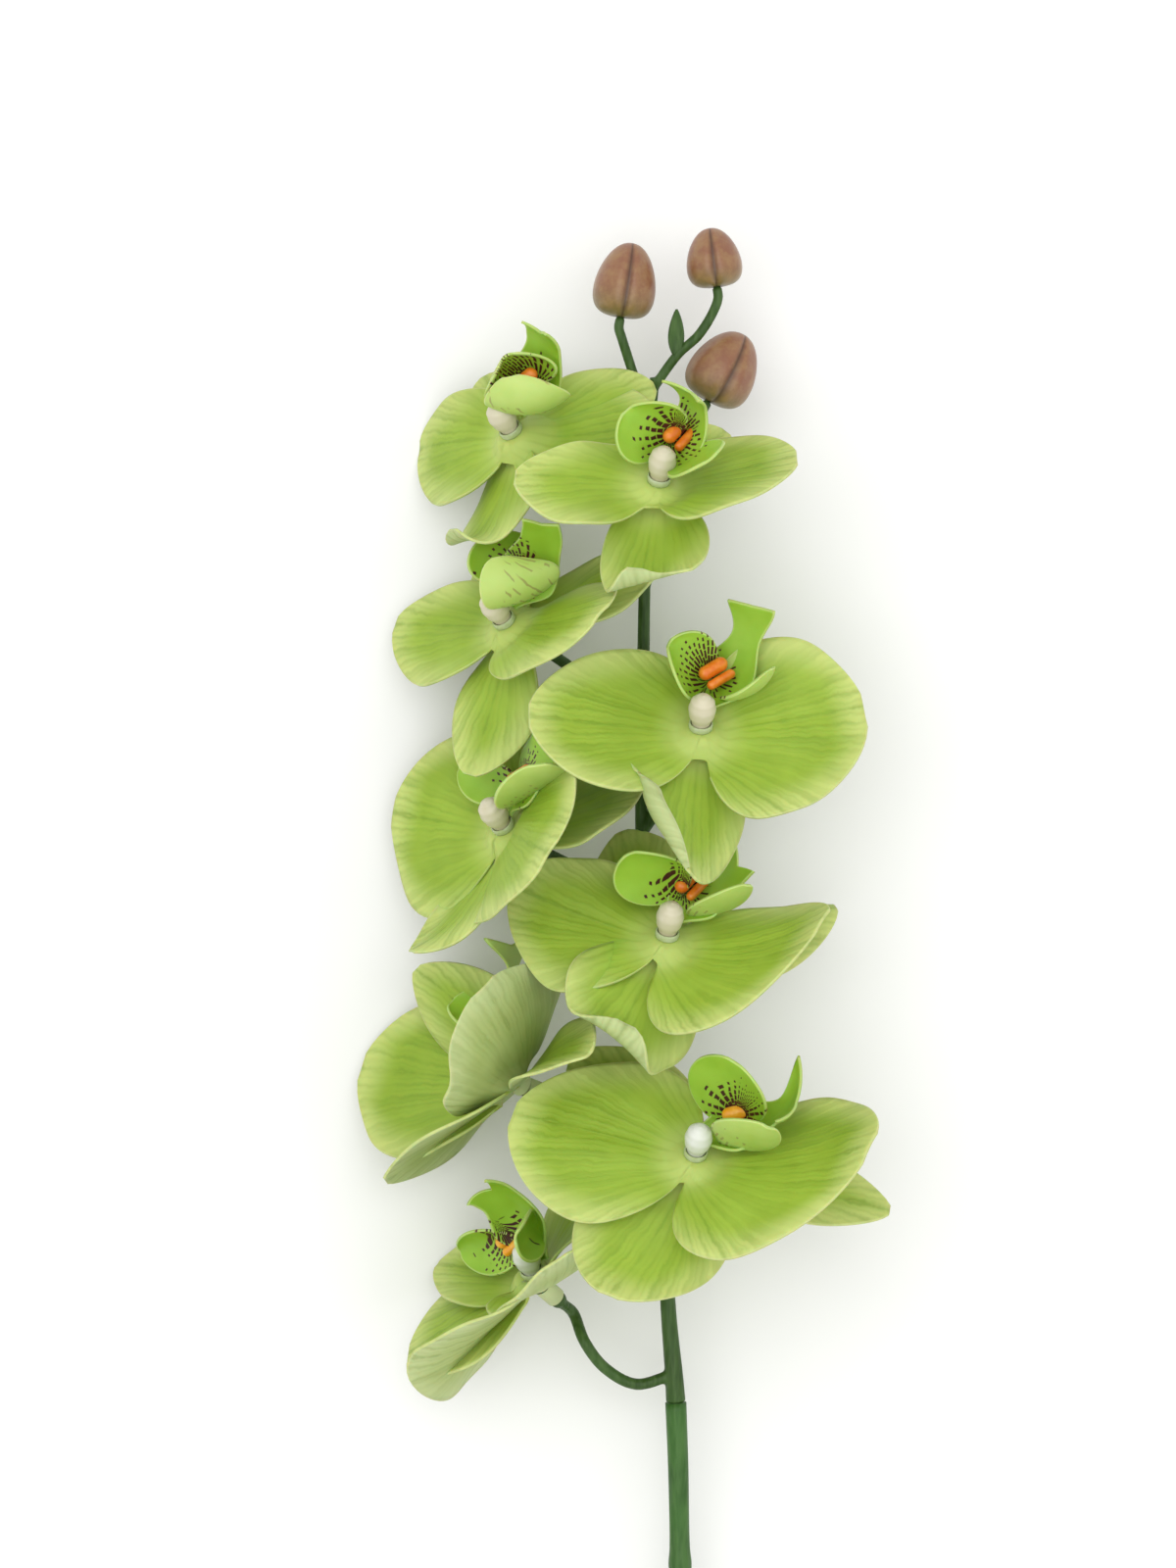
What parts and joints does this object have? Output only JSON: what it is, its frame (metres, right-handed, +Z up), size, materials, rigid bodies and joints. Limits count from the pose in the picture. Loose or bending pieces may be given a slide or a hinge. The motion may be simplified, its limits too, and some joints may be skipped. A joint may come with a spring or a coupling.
{
  "type": "moth orchid stem",
  "caption": "Cut moth orchid stem lying on its back: moulded green blooms with spotted lips and a few closed pink-brown buds on a branched stem plugged into a thicker lower stem.",
  "frame": {"origin": "on the surface that the stem lies on, under the middle of its bounding box", "axes": "+Y along the stem from its cut end towards the buds, +X across it to the right seen from above, +Z up"},
  "size_m": [0.1544, 0.5082, 0.0861],
  "materials": {
    "petal": "satin, veined, with pale edges",
    "lip": "satin, with maroon spots in the throat",
    "callus": "semi-gloss",
    "column": "semi-gloss",
    "collar": "clear soft plastic",
    "stem": "satin",
    "lower_stem": "satin",
    "bud": "semi-gloss"
  },
  "bodies": {
    "root": {"bloom_1_petals": "petal", "bloom_1_lip": "lip", "bloom_1_callus": "callus", "bloom_1_column": "column", "bloom_1_collar": "collar", "bloom_2_petals": "petal", "bloom_2_lip": "lip", "bloom_2_callus": "callus", "bloom_2_column": "column", "bloom_2_collar": "collar", "bloom_3_petals": "petal", "bloom_3_lip": "lip", "bloom_3_callus": "callus", "bloom_3_column": "column", "bloom_3_collar": "collar", "bloom_4_petals": "petal", "bloom_4_lip": "lip", "bloom_4_callus": "callus", "bloom_4_column": "column", "bloom_4_collar": "collar", "bloom_5_petals": "petal", "bloom_5_lip": "lip", "bloom_5_callus": "callus", "bloom_5_column": "column", "bloom_5_collar": "collar", "bloom_6_petals": "petal", "bloom_6_lip": "lip", "bloom_6_callus": "callus", "bloom_6_column": "column", "bloom_6_collar": "collar", "bloom_7_petals": "petal", "bloom_7_lip": "lip", "bloom_7_callus": "callus", "bloom_7_column": "column", "bloom_7_collar": "collar", "bloom_8_petals": "petal", "bloom_8_lip": "lip", "bloom_8_callus": "callus", "bloom_8_column": "column", "bloom_8_collar": "collar", "bloom_9_petals": "petal", "bloom_9_lip": "lip", "bloom_9_callus": "callus", "bloom_9_column": "column", "bloom_9_collar": "collar", "stem_upper": "stem", "stem_lower": "lower_stem", "bud_1": "bud", "bud_2": "bud", "bud_3": "bud"}
  },
  "joints": []
}
